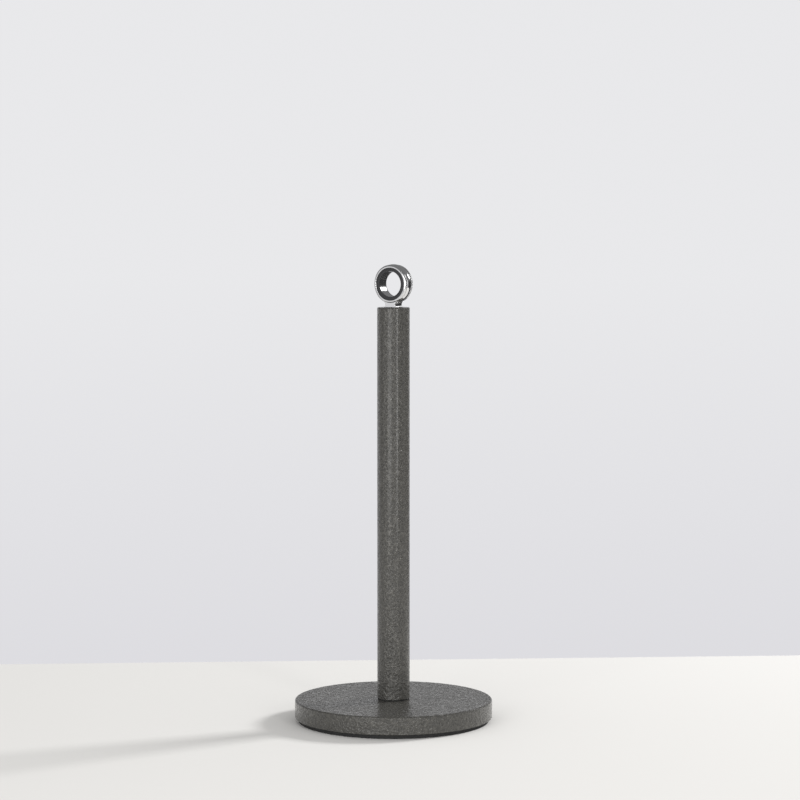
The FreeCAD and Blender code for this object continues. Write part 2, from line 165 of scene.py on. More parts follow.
class FinialSizes(bpy.types.PropertyGroup):
    """Sizes of the finial that its frame nodes do not give."""
    bore: length("Bore radius", "Radius of the open hole", 9.75 * MM)
    bezel_set_in: length("Bezel set in", "Bezel below the barrel's crown", 0.4 * MM)
    bezel_width: length("Bezel width", "Bright rim between inlay and outside", 2.1 * MM)
    bezel_depth: length("Bezel depth", "Bezel along the ring's axis", 1.6 * MM)
    bezel_radius: length("Bezel radius", "Rounding of the bezel's outer edge", 1.35 * MM)
    lip_radius: length("Lip radius", "Rounding of the bezel's inner lip and of the groove's edges", 0.2 * MM)
    groove_width: length("Groove width", "Groove behind the bezel", 0.6 * MM)
    groove_depth: length("Groove depth", "Groove behind the bezel", 0.5 * MM)
    barrel_rise: length("Barrel rise", "Crown of the barrel band above its edges", 0.5 * MM)
    pocket_depth: length("Pocket depth", "Pocket that holds the inlay", 1.3 * MM)
    neck_width: length("Neck width", "Width of the neck", 9.1 * MM)
    neck_depth: length("Neck depth", "Neck along the ring's axis", 9.6 * MM)
    neck_fillet: length("Neck fillet", "Rounding from neck to ring", 2.6 * MM)
    neck_edge: length("Neck edge radius", "Rounding of the neck's long edges", 0.45 * MM)
    neck_root: length("Neck root", "Metal kept between the neck's root and the inlays' pockets", 0.35 * MM)
    foot_flare: length("Foot flare", "How far the foot spreads", 0.7 * MM)
    foot_height: length("Foot height", "Straight edge of the foot", 0.4 * MM)
    inlay_crown: length("Inlay crown", "How far the inlay's face rises at its middle", 0.12 * MM)
    thread_pitch: length("Thread pitch", "Climb of the stud's thread in one turn", 1.0 * MM)
    thread_depth: length("Thread depth", "Depth of the stud's thread", 0.55 * MM)
    turn_steps: IntProperty(name="Steps", description="Steps in a full turn", default=240, min=48)


class Finishes(bpy.types.PropertyGroup):
    """Colours and roughness of the surfaces."""
    # Painted shade: the coat's hollows take the darker colour and its crests the lighter one, on top of its
    # own grain tone.
    coat_shaded_hollows: colour("Coat hollows", "Coat in the hollows of its grain", (0.038, 0.0365, 0.033))
    coat_lit_crests: colour("Coat crests", "Coat on the crests of its grain", (0.092, 0.0885, 0.080))
    coat_grain: length("Coat grain", "Size of one dimple of the coat", 1.9 * MM)
    coat_roughness: factor("Coat roughness", "Mean roughness of the coat", 0.26)
    chrome: colour("Chrome", "Reflection colour of the plating", (0.80, 0.80, 0.79))
    chrome_roughness: factor("Chrome roughness", "Roughness of the plating", 0.035)
    enamel: colour("Enamel", "Inlay colour", (0.022, 0.022, 0.024))
    rubber: colour("Rubber", "Pad and washer colour", (0.018, 0.018, 0.018))
    zinc: colour("Zinc", "Reflection colour of plated steel", (0.60, 0.60, 0.58))
    iron: colour("Iron", "Ballast colour", (0.045, 0.044, 0.043))


class Studio(bpy.types.PropertyGroup):
    """Camera, table and backdrop round the holder."""
    heading: angle("Heading", "How far the camera stands round to the holder's right", 32.5)
    tilt: angle("Tilt", "How far the camera looks down", 4.323)
    distance: length("Distance", "From the camera to the column's axis", 2.0598)
    eye_height: length("Eye height", "Camera above the table", 0.4034)
    side_step: length("Side step", "Camera to the right of the column", 0.0050)
    lens: FloatProperty(
        name="Lens", description="Focal length", default=121.5, unit="CAMERA", precision=4)
    table: colour("Table", "Table colour", (0.700, 0.690, 0.672))
    table_behind: length("Table behind", "Table's back edge behind the column", 0.270)
    table_before: length("Table before", "Table's front edge before the column", 0.9)
    table_width: length("Table width", "Table from side to side", 2.4)
    table_turn: angle("Table turn", "How far the table stands askew to the camera", 3.7)
    backdrop: colour("Backdrop", "Backdrop at the height of the ring", (0.812, 0.812, 0.828))
    # The backdrop's foot is painted darker, as shade near the table.
    backdrop_shaded_foot: colour("Backdrop foot", "Backdrop just above the table", (0.727, 0.723, 0.753))


class TowelHolder(bpy.types.PropertyGroup):
    """All the settings of the holder and its studio."""
    plinth: PointerProperty(type=PlinthSizes, name="Plinth", description="Sizes of the base")
    column: PointerProperty(type=ColumnSizes, name="Column", description="Sizes of the column")
    finial: PointerProperty(type=FinialSizes, name="Finial", description="Sizes of the ring finial")
    finishes: PointerProperty(type=Finishes, name="Finishes", description="Colours and roughness")
    studio: PointerProperty(type=Studio, name="Studio", description="Camera, table and backdrop")


# ---------------------------------------------------------------- node helpers

def add_node(tree, kind, inputs=None, **settings):
    """A node with its settings; inputs gives values or output sockets by the input's name or index."""
    made = tree.nodes.new(kind)
    for setting, value in settings.items():
        setattr(made, setting, value)
    for socket, value in (inputs or {}).items():
        if isinstance(value, bpy.types.NodeSocket):
            tree.links.new(value, made.inputs[socket])
        else:
            made.inputs[socket].default_value = value
    return made


def maths(tree, operation, *values, clamp=False):
    """The result of a calculation with one, two or three values."""
    made = add_node(tree, "ShaderNodeMath", dict(enumerate(values)), operation=operation, use_clamp=clamp)
    return made.outputs[0]


def remap(tree, value, source, target):
    """Maps value from one range to another, held at its ends."""
    ranges = {"From Min": source[0], "From Max": source[1], "To Min": target[0], "To Max": target[1]}
    return add_node(tree, "ShaderNodeMapRange", {"Value": value, **ranges}).outputs["Result"]


def blend_colours(tree, amount, first, second):
    """The first colour where the amount is 0, and the second where it is 1."""
    inputs = {"Factor": amount, 6: (*first, 1.0), 7: (*second, 1.0)}
    return add_node(tree, "ShaderNodeMix", inputs, data_type="RGBA").outputs[2]


def noise(tree, vector, scale, detail, **more):
    """A noise texture; more gives its other inputs."""
    return add_node(tree, "ShaderNodeTexNoise", {"Vector": vector, "Scale": scale, "Detail": detail, **more})


def swing(tree, value, share):
    """A value from 0 to 1 made to swing round zero, by a share of its size."""
    return maths(tree, "MULTIPLY", maths(tree, "SUBTRACT", value, 0.5), share)


def new_group(name, inputs, outputs):
    """A shader node group with float outputs: its tree, the sockets it is given and its output node."""
    group = bpy.data.node_groups.new(name, "ShaderNodeTree")
    for label, kind, default in inputs:
        socket = group.interface.new_socket(label, in_out="INPUT", socket_type=kind)
        if default is not None:
            socket.default_value = default
    for label in outputs:
        group.interface.new_socket(label, in_out="OUTPUT", socket_type="NodeSocketFloat")
    return group, group.nodes.new("NodeGroupInput").outputs, group.nodes.new("NodeGroupOutput")


# Sizes of the coat's marks, as multiples of the dimples' own scale: above 1 they are finer.
WANDER_SCALE = 0.55
FINE_SCALE = 2.6
CLUMP_SCALE = 0.42
PATCH_SCALE = 0.09
SPECKLE_PATCH_SCALE = 0.04
# Scratches run up and down, so they are stretched along Z.
SCRATCH_STRETCH = (1.0, 1.0, 0.06)


def hammered_group():
    """Dimples of a hammered coat: crests between rounded hollows, with finer grain on top; its tone is low in
    the hollows, where the coat paints shade into them.
    """
    group, given, result = new_group("Hammered Grain", [
        ("Vector", "NodeSocketVector", None),
        ("Scale", "NodeSocketFloat", 800.0),
        ("Wander", "NodeSocketFloat", 0.35),
        ("Fine Share", "NodeSocketFloat", 0.7),
        ("Clump Share", "NodeSocketFloat", 1.6),
    ], ["Height", "Grain And Shade Tone", "Patches"])
    drift = noise(group, given["Vector"], maths(group, "MULTIPLY", given["Scale"], WANDER_SCALE), 1.0)
    offset = add_node(group, "ShaderNodeVectorMath", {
        0: drift.outputs["Color"], 1: (-0.5, -0.5, -0.5)}, operation="ADD")
    reach = maths(group, "DIVIDE", given["Wander"], given["Scale"])
    scaled = add_node(group, "ShaderNodeVectorMath", {
        0: offset.outputs[0], "Scale": maths(group, "MULTIPLY", reach, 4.0)}, operation="SCALE")
    warped = add_node(group, "ShaderNodeVectorMath", {
        0: given["Vector"], 1: scaled.outputs[0]}, operation="ADD").outputs[0]
    cells = add_node(group, "ShaderNodeTexVoronoi", {
        "Vector": warped, "Scale": given["Scale"], "Smoothness": 0.55}, feature="SMOOTH_F1")
    fine = noise(group, given["Vector"], maths(group, "MULTIPLY", given["Scale"], FINE_SCALE), 2.0)
    broad = noise(group, given["Vector"], maths(group, "MULTIPLY", given["Scale"], PATCH_SCALE), 2.0)
    clump = noise(group, given["Vector"], maths(group, "MULTIPLY", given["Scale"], CLUMP_SCALE), 1.0)
    dimple = remap(group, cells.outputs["Distance"], (0.1, 0.75), (0.0, 1.0))
    grained = maths(group, "ADD", dimple, swing(group, fine.outputs["Fac"], given["Fine Share"]))
    height = maths(group, "ADD", grained, swing(group, clump.outputs["Fac"], given["Clump Share"]))
    tone = remap(group, grained, (0.0, 1.0), (0.0, 1.0))
    for label, value in (("Height", height), ("Grain And Shade Tone", tone), ("Patches", broad.outputs["Fac"])):
        group.links.new(value, result.inputs[label])
    return group


def speckle_group():
    """Fine even grain for rubber, enamel and iron, with broader patches."""
    group, given, result = new_group("Speckle", [
        ("Vector", "NodeSocketVector", None),
        ("Scale", "NodeSocketFloat", 2000.0),
        ("Roughness", "NodeSocketFloat", 0.6),
    ], ["Height", "Patches"])
    grain = noise(group, given["Vector"], given["Scale"], 4.0, Roughness=given["Roughness"])
    patch_scale = maths(group, "MULTIPLY", given["Scale"], SPECKLE_PATCH_SCALE)
    patches = noise(group, given["Vector"], patch_scale, 3.0)
    group.links.new(grain.outputs["Fac"], result.inputs["Height"])
    group.links.new(patches.outputs["Fac"], result.inputs["Patches"])
    return group


def handling_group():
    """Faint smears and hairline scratches of handled plating, as a mask of added roughness."""
    group, given, result = new_group("Handling Marks", [
        ("Vector", "NodeSocketVector", None),
        ("Smear Scale", "NodeSocketFloat", 120.0),
        ("Scratch Scale", "NodeSocketFloat", 900.0),
    ], ["Mask"])
    smear = noise(group, given["Vector"], given["Smear Scale"], 4.0, Distortion=0.6)
    stretched = add_node(group, "ShaderNodeVectorMath", {
        0: given["Vector"], 1: SCRATCH_STRETCH}, operation="MULTIPLY")
    scratch = noise(group, stretched.outputs[0], given["Scratch Scale"], 2.0)
    soft = remap(group, smear.outputs["Fac"], (0.45, 0.75), (0.0, 1.0))
    sharp = remap(group, scratch.outputs["Fac"], (0.66, 0.72), (0.0, 0.6))
    group.links.new(maths(group, "MAXIMUM", soft, sharp), result.inputs["Mask"])
    return group


def use_group(tree, group, **inputs):
    """The outputs of a group that reads the piece's own coordinates; inputs are named in lower case."""
    made = tree.nodes.new("ShaderNodeGroup")
    made.node_tree = group
    coordinates = tree.nodes.new("ShaderNodeTexCoord")
    tree.links.new(coordinates.outputs["Object"], made.inputs["Vector"])
    for label, value in inputs.items():
        made.inputs[label.replace("_", " ").title()].default_value = value
    return made.outputs


def new_material(name):
    """An empty node material with its Principled shader."""
    material = bpy.data.materials.new(name)
    material.use_nodes = True
    tree = material.node_tree
    return material, tree, tree.nodes["Principled BSDF"]


def add_bump(tree, shader, height, distance):
    """Lets a height from 0 to 1 stand out of the surface by a distance."""
    bump = add_node(tree, "ShaderNodeBump", {"Height": height, "Distance": distance})
    tree.links.new(bump.outputs["Normal"], shader.inputs["Normal"])


# ---------------------------------------------------------------- materials

# The coat: depth of its dimples, how far its patches shift its tone, its metallic share on the crests, its
# refraction, and what the hollows and the crests add to its mean roughness.
COAT_RELIEF = 0.42 * MM
COAT_PATCHES = 0.08
COAT_GLINT = 0.3
COAT_INDEX = 1.5
HOLLOW_ROUGHNESS = 0.2
CREST_ROUGHNESS = -0.08
# The clear gloss over the coat.
GLOSS_SHARE = 0.3
GLOSS_ROUGHNESS = 0.15
# What handling adds to the roughness of chrome.
HANDLED_ROUGHNESS = 0.03
# Speckled finishes: the darkest and the lightest grain as shares of the tint, and the roughness each adds.
GRAIN_SHADES = (0.7, 1.45)
GRAIN_ROUGHNESS = (0.1, -0.05)
# Zinc plate: its tint and roughness where it is tarnished, and the height of its marks.
ZINC_TARNISH = (0.86, 0.84, 0.74)
ZINC_ROUGHNESS = (0.24, 0.42)
ZINC_RELIEF = 0.01 * MM


def coat_material(look, group):
    """Hammered charcoal coat: dimpled, with painted shade in its hollows and lighter crests, a slight
    metallic glint on its crests, a thin clear gloss on top.
    """
    material, tree, shader = new_material("hammered_coat")
    grain = use_group(tree, group, scale=1 / look.coat_grain)
    patchy = remap(tree, grain["Patches"], (0.3, 0.7), (-COAT_PATCHES, COAT_PATCHES))
    tone = maths(tree, "ADD", grain["Grain And Shade Tone"], patchy, clamp=True)
    # Painted shade and grain: the hollows take the darker colour, the crests the lighter one.
    base = blend_colours(tree, tone, look.coat_shaded_hollows, look.coat_lit_crests)
    tree.links.new(base, shader.inputs["Base Color"])
    mean = look.coat_roughness
    roughness = remap(tree, tone, (0.0, 1.0), (mean + HOLLOW_ROUGHNESS, mean + CREST_ROUGHNESS))
    tree.links.new(roughness, shader.inputs["Roughness"])
    tree.links.new(remap(tree, tone, (0.1, 1.0), (0.0, COAT_GLINT)), shader.inputs["Metallic"])
    shader.inputs["IOR"].default_value = COAT_INDEX
    shader.inputs["Coat Weight"].default_value = GLOSS_SHARE
    shader.inputs["Coat Roughness"].default_value = GLOSS_ROUGHNESS
    add_bump(tree, shader, grain["Height"], COAT_RELIEF)
    return material


def chrome_material(look, group):
    """Mirror chrome plate over a cast ring, with faint handling marks."""
    material, tree, shader = new_material("polished_chrome")
    marks = use_group(tree, group, smear_scale=150.0, scratch_scale=1400.0)
    clean = look.chrome_roughness
    roughness = remap(tree, marks["Mask"], (0.0, 1.0), (clean, clean + HANDLED_ROUGHNESS))
    shader.inputs["Base Color"].default_value = (*look.chrome, 1.0)
    shader.inputs["Metallic"].default_value = 1.0
    tree.links.new(roughness, shader.inputs["Roughness"])
    return material


def speckled_material(name, group, tint, mean, scale, relief, metallic=0.0):
    """A plain tint broken up by fine grain: rubber, enamel or cast iron."""
    material, tree, shader = new_material(name)
    grain = use_group(tree, group, scale=scale)
    darker, lighter = [[part * share for part in tint] for share in GRAIN_SHADES]
    mixed = maths(tree, "MULTIPLY_ADD", grain["Height"], 0.6, maths(tree, "MULTIPLY", grain["Patches"], 0.4))
    tone = remap(tree, mixed, (0.3, 0.7), (0.0, 1.0))
    tree.links.new(blend_colours(tree, tone, darker, lighter), shader.inputs["Base Color"])
    roughness = remap(tree, tone, (0.0, 1.0), [mean + added for added in GRAIN_ROUGHNESS])
    tree.links.new(roughness, shader.inputs["Roughness"])
    shader.inputs["Metallic"].default_value = metallic
    add_bump(tree, shader, grain["Height"], relief)
    return material


def zinc_material(look, group):
    """Bright zinc plate on turned steel."""
    material, tree, shader = new_material("zinc_plate")
    marks = use_group(tree, group, smear_scale=220.0, scratch_scale=2600.0)
    warm = [part * tint for part, tint in zip(look.zinc, ZINC_TARNISH)]
    tree.links.new(blend_colours(tree, marks["Mask"], look.zinc, warm), shader.inputs["Base Color"])
    tree.links.new(remap(tree, marks["Mask"], (0.0, 1.0), ZINC_ROUGHNESS), shader.inputs["Roughness"])
    shader.inputs["Metallic"].default_value = 1.0
    add_bump(tree, shader, marks["Mask"], ZINC_RELIEF)
    return material


def table_material(studio):
    """A matt pale table top with no gloss."""
    material, _, shader = new_material("studio_table")
    shader.inputs["Base Color"].default_value = (*studio.table, 1.0)
    shader.inputs["Roughness"].default_value = TABLE_ROUGHNESS
    shader.inputs["Specular IOR Level"].default_value = 0.0
    return material


# ---------------------------------------------------------------- mesh helpers

def turned(section, axis=UP, centre=Vector(), steps=144):
    """A ring-shaped solid: section is a closed loop of (radius, along) corners, turned about the axis."""
    across = Vector((1, 0, 0))
    mesh = bmesh.new()
    corners = [mesh.verts.new(centre + across * radius + axis * along) for radius, along in section]
    edges = [mesh.edges.new(pair) for pair in zip(corners, corners[1:] + corners[:1])]
    bmesh.ops.spin(
        mesh, geom=corners + edges, cent=centre, axis=axis, angle=math.tau, steps=steps, use_merge=True)
    bmesh.ops.recalc_face_normals(mesh, faces=mesh.faces)
    return mesh


def round_rims(mesh, rims, axis=UP, centre=Vector(), segments=4):
    """Rounds the circular edges given as (radius, along, size)."""
    for radius, along, size in rims:
        def on_rim(point):
            """Whether a corner lies on the circle."""
            arm = point - centre
            height = arm.dot(axis)
            out = (arm - axis * height).length
            return abs(height - along) < TOLERANCE and abs(out - radius) < TOLERANCE
        edges = [edge for edge in mesh.edges if all(on_rim(corner.co) for corner in edge.verts)]
        if not edges:
            raise RuntimeError(f"no rim of radius {radius} at {along}")
        bmesh.ops.bevel(
            mesh, geom=edges, offset=size, offset_type="OFFSET", segments=segments, profile=0.5,
            affect="EDGES", material=-1, clamp_overlap=True)


def arc(centre, radius, start, finish, count):
    """Points of an arc in the plane of X and Z, from one angle to another."""
    angles = [start + (finish - start) * step / count for step in range(count + 1)]
    return [(centre[0] + radius * math.cos(angle), centre[1] + radius * math.sin(angle)) for angle in angles]


def new_piece(mesh, name, sharp=math.radians(40)):
    """A shown object from a bmesh, smooth except along edges sharper than the angle given."""
    data = bpy.data.meshes.new(name)
    mesh.to_mesh(data)
    mesh.free()
    data.shade_smooth()
    data.set_sharp_from_angle(angle=sharp)
    piece = bpy.data.objects.new(name, data)
    bpy.context.scene.collection.objects.link(piece)
    return piece


def place_piece(piece, material, slot, body, *nodes):
    """Gives a piece its finish and body, and lets it stand for its frame nodes."""
    piece.data.materials.clear()
    piece.data.materials.append(material)
    weighted = piece.modifiers.new("even_shading", "WEIGHTED_NORMAL")
    weighted.keep_sharp = True
    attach(piece, body)
    if nodes:
        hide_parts(*nodes)


def dress_node(node, material):
    """Gives a carried-over frame node its finish."""
    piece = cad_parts[node]
    piece.data.materials.clear()
    piece.data.materials.append(material)


# ---------------------------------------------------------------- operators

class HolderOperator:
    """What the operators below share."""
    bl_options = {"REGISTER", "UNDO"}

    @property
    def holder(self):
        """The settings of the holder."""
        return bpy.context.scene.towel_holder


class TOWELHOLDER_OT_materials(HolderOperator, bpy.types.Operator):
    """Makes the finishes of the holder"""
    bl_idname = "towel_holder.materials"
    bl_label = "Finishes"

    def execute(self, context):
        look = self.holder.finishes
        speckle = speckle_group()
        handling = handling_group()
        coat_material(look, hammered_group())
        chrome_material(look, handling)
        zinc_material(look, handling)
        speckled_material("charcoal_enamel", speckle, look.enamel, 0.38, 1500.0, 0.03 * MM)
        speckled_material("soft_rubber", speckle, look.rubber, 0.78, 2400.0, 0.08 * MM)
        speckled_material("cast_iron", speckle, look.iron, 0.7, 700.0, 0.25 * MM, metallic=0.4)
        return {"FINISHED"}


class TOWELHOLDER_OT_plinth(HolderOperator, bpy.types.Operator):
    """Models the coated shell of the base and the pad under it"""
    bl_idname = "towel_holder.plinth"
    bl_label = "Plinth"

    def execute(self, context):
        sizes = self.holder.plinth
        self.model_shell(sizes)
        self.model_pad(sizes)
        for node in ("base_bolt", "base_flat_washer", "base_spring_washer"):
            dress_node(node, bpy.data.materials["zinc_plate"])
        dress_node("base_weight", bpy.data.materials["cast_iron"])
        return {"FINISHED"}

    def model_shell(self, sizes):
        """The shell: a cap with a rolled rim, open below, with a hole for the bolt."""
        outer = half_width("base_shell")
        foot, top = span("base_shell")
        hole = sizes.bolt_radius + sizes.hole_gap
        shell = turned([
            (hole, top),
            (hole, top - sizes.wall),
            (outer - sizes.wall, top - sizes.wall),
            (outer - sizes.wall, foot),
            (outer, foot),
            (outer, top),
        ], steps=sizes.turn_steps)
        round_rims(shell, [(outer, top, sizes.top_radius)], segments=6)
        round_rims(shell, [(outer, foot, sizes.foot_radius)], segments=4)
        piece = new_piece(shell, "plinth_shell")
        place_piece(piece, bpy.data.materials["hammered_coat"], "textured_coat", "stand", "base_shell")

    def model_pad(self, sizes):
        """The pad, with a wide hole that leaves the bolt's head free."""
        outer = half_width("base_pad")
        foot, top = span("base_pad")
        opening = sizes.pad_opening
        pad = turned([(opening, foot), (outer, foot), (outer, top), (opening, top)], steps=sizes.turn_steps)
        round_rims(pad, [(outer, foot, sizes.pad_radius), (opening, foot, sizes.pad_radius)], segments=3)
        piece = new_piece(pad, "plinth_pad")
        place_piece(piece, bpy.data.materials["soft_rubber"], "soft_pad", "stand", "base_pad")


class TOWELHOLDER_OT_column(HolderOperator, bpy.types.Operator):
    """Models the coated column with its closed top, and the washer it stands on"""
    bl_idname = "towel_holder.column"
    bl_label = "Column"

    def execute(self, context):
        sizes = self.holder.column
        coat = bpy.data.materials["hammered_coat"]
        outer = half_width("column_tube")
        foot, top = span("column_tube")
        inner = outer - sizes.wall
        tube = turned([(inner, foot), (outer, foot), (outer, top), (inner, top)], steps=sizes.turn_steps)
        round_rims(tube, [(outer, top, sizes.top_radius)], segments=6)
        round_rims(tube, [(outer, foot, sizes.foot_radius), (inner, top, sizes.seam_radius)], segments=3)
        piece = new_piece(tube, "column_sleeve")
        place_piece(piece, coat, "textured_coat", "stand", "column_tube")
        self.model_plug(sizes, coat)
        self.model_washer(sizes)
        dress_node("column_bottom_insert", bpy.data.materials["zinc_plate"])
        return {"FINISHED"}

    def model_plug(self, sizes, coat):
        """The plug that closes the column's top, with the countersunk hole for the stud."""
        outer = half_width("column_top_insert")
        bore = half_width("finial_stud") + sizes.thread_gap
        foot, top = span("column_top_insert")
        plug = turned([(bore, foot), (outer, foot), (outer, top), (bore, top)], steps=sizes.turn_steps)
        round_rims(plug, [(outer, top, sizes.seam_radius)], segments=3)
        round_rims(plug, [(bore, top, sizes.countersink)], segments=1)
        piece = new_piece(plug, "column_plug", sharp=math.radians(30))
        place_piece(piece, coat, "textured_coat", "stand", "column_top_insert")

    def model_washer(self, sizes):
        """The soft washer between the base and the column."""
        outer = half_width("column_seat_washer")
        hole = sizes.washer_hole
        foot, top = span("column_seat_washer")
        washer = turned([(hole, foot), (outer, foot), (outer, top), (hole, top)], steps=sizes.turn_steps)
        rims = [(outer, foot, sizes.washer_radius), (outer, top, sizes.washer_radius)]
        round_rims(washer, rims, segments=3)
        piece = new_piece(washer, "column_washer")
        place_piece(piece, bpy.data.materials["soft_rubber"], "soft_pad", "stand", "column_seat_washer")


class TOWELHOLDER_OT_finial(HolderOperator, bpy.types.Operator):
    """Models the chromed ring with its neck, its two dark inlays and its threaded stud"""
    bl_idname = "towel_holder.finial"
    bl_label = "Ring finial"

    def execute(self, context):
        sizes = self.holder.finial
        ring = new_piece(self.ring_mesh(sizes), "ring_casting")
        neck = new_piece(self.neck_mesh(sizes), "neck_block")
        self.unite(ring, neck)
        place_piece(ring, bpy.data.materials["polished_chrome"], "polished_chrome", "finial", "finial_ring")
        for node, name in (("finial_front_inlay", "front_inlay"), ("finial_rear_inlay", "rear_inlay")):
            inlay = new_piece(self.inlay_mesh(sizes, node), name)
            place_piece(inlay, bpy.data.materials["charcoal_enamel"], "dark_enamel", "finial", node)
        stud = new_piece(self.stud_mesh(sizes), "threaded_stud", sharp=math.radians(25))
        place_piece(stud, bpy.data.materials["zinc_plate"], "zinc_steel", "stud", "finial_stud")
        return {"FINISHED"}

    def ring_mesh(self, sizes):
        """The ring's section turned about its own axis: bore, pockets, bezels, grooves and barrel band."""
        half = (RING_BACK - RING_FRONT) / 2
        bezel = RING_RADIUS - sizes.bezel_set_in
        lip = bezel - sizes.bezel_width
        floor = half - sizes.pocket_depth
        bezel_back = half - sizes.bezel_depth
        barrel_edge = bezel_back - sizes.groove_width
        groove = bezel - sizes.groove_depth
        rise = sizes.barrel_rise
        barrel = (barrel_edge ** 2 + rise ** 2) / (2 * rise)
        sweep = math.asin(barrel_edge / barrel)
        side = [(sizes.bore, floor), (lip, floor), (lip, half), (bezel, half), (bezel, bezel_back),
                (groove, bezel_back), (groove, barrel_edge)]
        band_steps = 16
        band = []
        for step in range(band_steps + 1):
            angle = sweep * (1 - 2 * step / band_steps)
            band.append((RING_RADIUS - barrel * (1 - math.cos(angle)), barrel * math.sin(angle)))
        section = side + band + [(radius, -along) for radius, along in reversed(side)]
        mesh = turned(section, axis=BACK, centre=RING_CENTRE, steps=sizes.turn_steps)
        for along in (half, -half):
            sign = math.copysign(1, along)
            round_rims(mesh, [(bezel, along, sizes.bezel_radius)], BACK, RING_CENTRE, segments=10)
            rims = [(lip, along, sizes.lip_radius), (bezel, sign * bezel_back, sizes.lip_radius),
                    (band[0][0], sign * barrel_edge, sizes.lip_radius)]
            round_rims(mesh, rims, BACK, RING_CENTRE, segments=3)
        return mesh

    def neck_mesh(self, sizes):
        """The neck's outline, drawn from its foot up into the ring on the right and mirrored to the left."""
        bezel = RING_RADIUS - sizes.bezel_set_in
        half_neck = sizes.neck_width / 2
        foot = RING_FOOT - RING_CENTRE.z
        flare = sizes.foot_flare
        flare_centre = (half_neck + flare, foot + sizes.foot_height + flare)
        reach = bezel + sizes.neck_fillet
        fillet_x = half_neck + sizes.neck_fillet
        fillet_z = -math.sqrt(reach ** 2 - fillet_x ** 2)
        to_ring = math.atan2(-fillet_z, -fillet_x)
        root = bezel - sizes.bezel_width + sizes.neck_root
        root_angle = math.atan2(fillet_z, fillet_x)
        outline = [(flare_centre[0], foot)]
        outline += arc(flare_centre, flare, -math.pi / 2, -math.pi, 5)
        outline += arc((fillet_x, fillet_z), sizes.neck_fillet, math.pi, to_ring, 14)
        outline += arc((0, 0), root, root_angle, -math.pi / 2, 8)[:-1]
        outline += [(0, -root)] + [(-across, up) for across, up in reversed(outline)]
        mesh = bmesh.new()
        front = -sizes.neck_depth / 2
        corners = [mesh.verts.new((across, front, RING_CENTRE.z + up)) for across, up in outline]
        face = mesh.faces.new(corners)
        grown = bmesh.ops.extrude_face_region(mesh, geom=[face])["geom"]
        moved = [item for item in grown if isinstance(item, bmesh.types.BMVert)]
        bmesh.ops.translate(mesh, verts=moved, vec=BACK * sizes.neck_depth)
        bmesh.ops.recalc_face_normals(mesh, faces=mesh.faces)
        mesh.edges.ensure_lookup_table()
        caps = [face for face in mesh.faces if len(face.verts) > 4]
        rims = [edge for cap in caps for edge in cap.edges
                if all((corner.co - RING_CENTRE).xz.length > bezel - 0.05 * MM for corner in edge.verts)]
        bmesh.ops.bevel(
            mesh, geom=rims, offset=sizes.neck_edge, offset_type="OFFSET", segments=4, profile=0.5,
            affect="EDGES", material=-1, clamp_overlap=True)
        return mesh

    def unite(self, ring, neck):
        """Joins the neck to the ring as one closed skin."""
        union = ring.modifiers.new("neck", "BOOLEAN")
        union.operation = "UNION"
        union.solver = "EXACT"
        union.object = neck
        depsgraph = bpy.context.evaluated_depsgraph_get()
        joined = bpy.data.meshes.new_from_object(ring.evaluated_get(depsgraph))
        ring.modifiers.clear()
        ring.data = joined
        bpy.data.objects.remove(neck)
        joined.shade_smooth()
        joined.set_sharp_from_angle(angle=math.radians(40))

    def inlay_mesh(self, sizes, node):
        """A flat ring whose shown face is slightly crowned."""
        outer = half_width(node)
        low, high = span(node, axis=1)
        shown_sign = -1 if high < 0 else 1
        shown, hidden = (low, high) if shown_sign < 0 else (high, low)
        crown_steps = 8
        face = []
        for step in range(crown_steps + 1):
            share = step / crown_steps
            rise = sizes.inlay_crown * math.sin(math.pi * share)
            face.append((outer + (sizes.bore - outer) * share, shown + shown_sign * rise))
        section = face + [(sizes.bore, hidden), (outer, hidden)]
        return turned(section, axis=BACK, centre=RING_CENTRE, steps=sizes.turn_steps)

    def stud_mesh(self, sizes):
        """A threaded rod: one pitch of thread spun along a helix, then trimmed flat and capped."""
        outer = half_width("finial_stud")
        inner = outer - sizes.thread_depth
        foot, top = span("finial_stud")
        pitch = sizes.thread_pitch
        turns = math.ceil((top - foot) / pitch) + 2
        steps_per_turn = 40
        # One turn of the thread in section, as radius and share of the pitch.
        crest = [(inner, 0.0), (inner, 0.125), (outer, 0.4375), (outer, 0.5625), (inner, 0.875), (inner, 1.0)]
        mesh = bmesh.new()
        start = foot - 1.5 * pitch
        corners = [mesh.verts.new((radius, 0, start + pitch * along)) for radius, along in crest]
        edges = [mesh.edges.new(pair) for pair in zip(corners, corners[1:])]
        bmesh.ops.spin(
            mesh, geom=corners + edges, cent=(0, 0, 0), axis=UP, dvec=UP * (pitch / steps_per_turn),
            angle=math.tau * turns, steps=steps_per_turn * turns)
        bmesh.ops.remove_doubles(mesh, verts=mesh.verts, dist=TOLERANCE / 2)
        for height, direction in ((foot, -UP), (top, UP)):
            everything = [*mesh.verts, *mesh.edges, *mesh.faces]
            bmesh.ops.bisect_plane(
                mesh, geom=everything, dist=TOLERANCE / 10, plane_co=(0, 0, height), plane_no=direction,
                clear_outer=True)
            open_edges = [edge for edge in mesh.edges if edge.is_boundary
                          and all(abs(corner.co.z - height) < TOLERANCE for corner in edge.verts)]
            bmesh.ops.contextual_create(mesh, geom=open_edges)
        bmesh.ops.recalc_face_normals(mesh, faces=mesh.faces)
        return mesh


